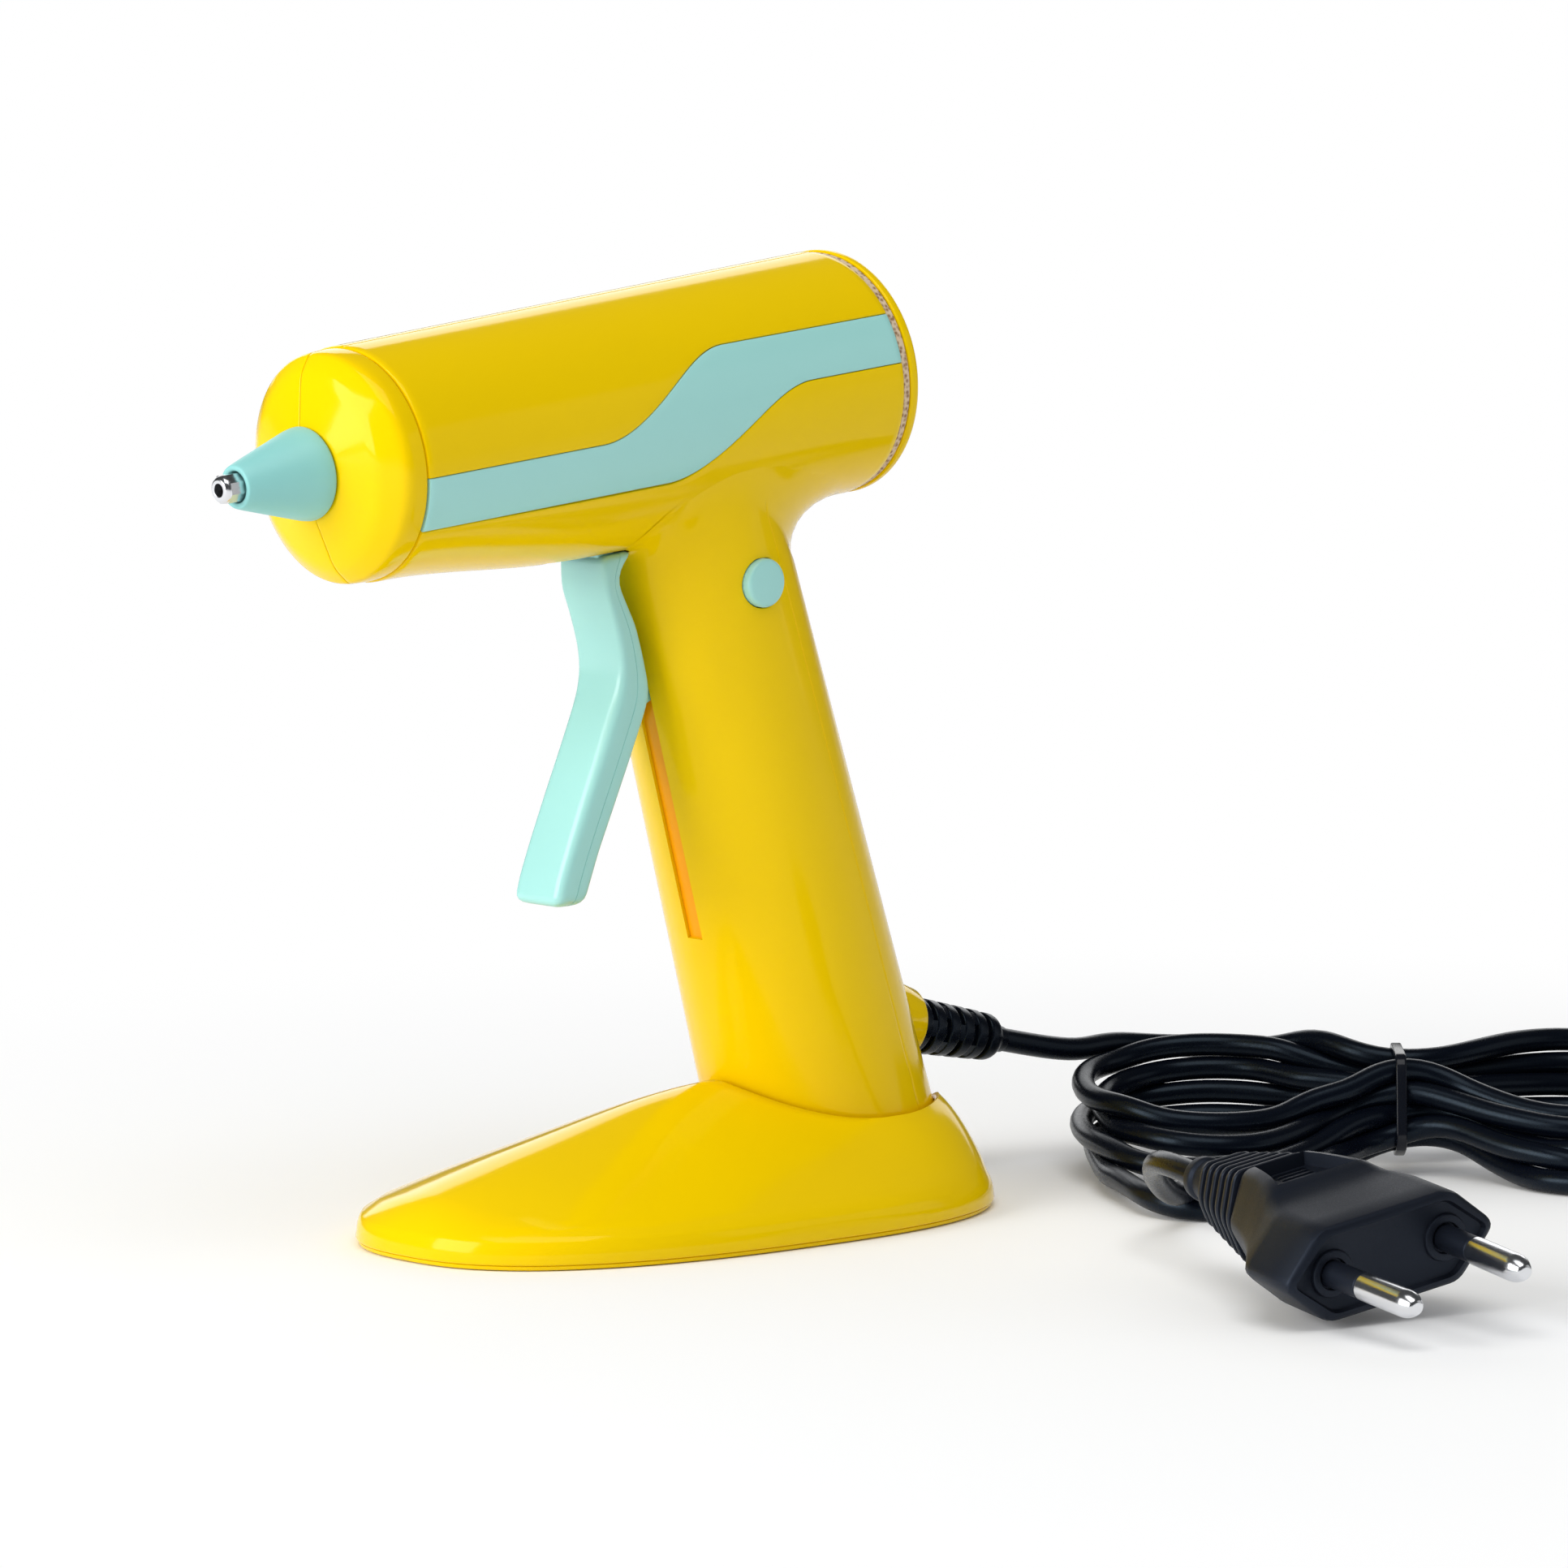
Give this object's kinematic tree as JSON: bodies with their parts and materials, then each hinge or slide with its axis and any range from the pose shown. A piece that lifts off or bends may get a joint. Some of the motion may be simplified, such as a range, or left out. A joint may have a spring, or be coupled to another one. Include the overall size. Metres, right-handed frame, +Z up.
{
  "type": "glue gun",
  "caption": "Small hot glue gun standing upright in its oval weighted stand, with a side button, a finger trigger, inlaid side bands and a mains lead wound in a tied hank with a two-pin plug.",
  "frame": {"origin": "on the underside of the stand, on the tool's middle plane, under the trigger", "axes": "+Z up from the table, +X from the nozzle towards the rear of the barrel, +Y towards the side without the button"},
  "size_m": [0.2358, 0.1832, 0.1397],
  "materials": {
    "yellow_shell": "glossy yellow moulded ABS",
    "mint_plastic": "satin mint green moulded plastic",
    "mint_silicone": "soft matt mint green silicone",
    "plated_metal": "bright nickel plating",
    "cast_aluminium": "cast and turned",
    "heater_ceramic": "fired ceramic",
    "spring_steel": "bright steel",
    "red_silicone": "matt silicone",
    "black_plastic": "matt moulded plastic",
    "white_plastic": "matt moulded plastic",
    "fibre": "pressed fibre ring",
    "brown_wire": "insulated wire",
    "blue_wire": "insulated wire",
    "black_cable": "smooth black flexible cable",
    "black_tie": "black coated wire tie",
    "black_plug": "satin black moulded plug"
  },
  "bodies": {
    "stand": {"stand_shell": "yellow_shell", "stand_plate": "yellow_shell", "stand_screws": "spring_steel"},
    "gun": {"housing_left": "yellow_shell", "housing_right": "yellow_shell", "nose_left": "yellow_shell", "nose_right": "yellow_shell", "rear_cap": "yellow_shell", "gasket_ring": "fibre", "nozzle_sleeve": "mint_silicone", "nozzle_tip": "plated_metal", "melt_chamber": "cast_aluminium", "heater": "heater_ceramic", "heater_clip": "spring_steel", "feed_tube": "red_silicone", "tube_clamp": "spring_steel", "pivot_pin": "spring_steel", "return_spring": "spring_steel", "switch_body": "black_plastic", "band_left": "mint_plastic", "band_right": "mint_plastic", "wire_switch": "brown_wire", "wire_link": "brown_wire", "wire_return": "blue_wire", "cord_inner": "black_cable", "cord_clamp": "white_plastic", "clamp_screws": "spring_steel", "housing_screws": "spring_steel", "strain_relief": "black_cable", "cord_lead": "black_cable", "cord_hank": "black_cable", "cord_tail": "black_cable", "cord_tie": "black_tie", "plug_body": "black_plug", "plug_sleeves": "black_plug", "plug_pins": "plated_metal"},
    "trigger": {"trigger": "mint_plastic"},
    "carriage": {"feed_carriage": "black_plastic", "grip_clip": "spring_steel", "drive_pin": "spring_steel"},
    "button": {"power_button": "mint_plastic"}
  },
  "joints": [
    {"name": "lift_off", "type": "slide", "parent": "stand", "child": "gun", "axis": [-0.2957, 0, 0.9553], "range_m": [0, 0.06]},
    {"name": "trigger_pull", "type": "hinge", "parent": "gun", "child": "trigger", "pos_m": [0.00382, 0, 0.08061], "axis": [0, -1, 0], "range_deg": [0, 20], "stiffness_Nm_per_rad": 0.08, "springref_deg": -6.88, "deforming": ["return_spring"]},
    {"name": "feed_slide", "type": "slide", "parent": "gun", "child": "carriage", "axis": [-0.9962, 0, -0.0872], "range_m": [0, 0.00875]},
    {"name": "button_press", "type": "slide", "parent": "gun", "child": "button", "axis": [0, 1, 0], "range_m": [0, 0.001], "stiffness_N_per_m": 600, "springref_m": -0.0005}
  ],
  "couplings": [
    {"joint": "feed_slide", "follows": "trigger_pull", "m_per_rad": 0.025066}
  ]
}
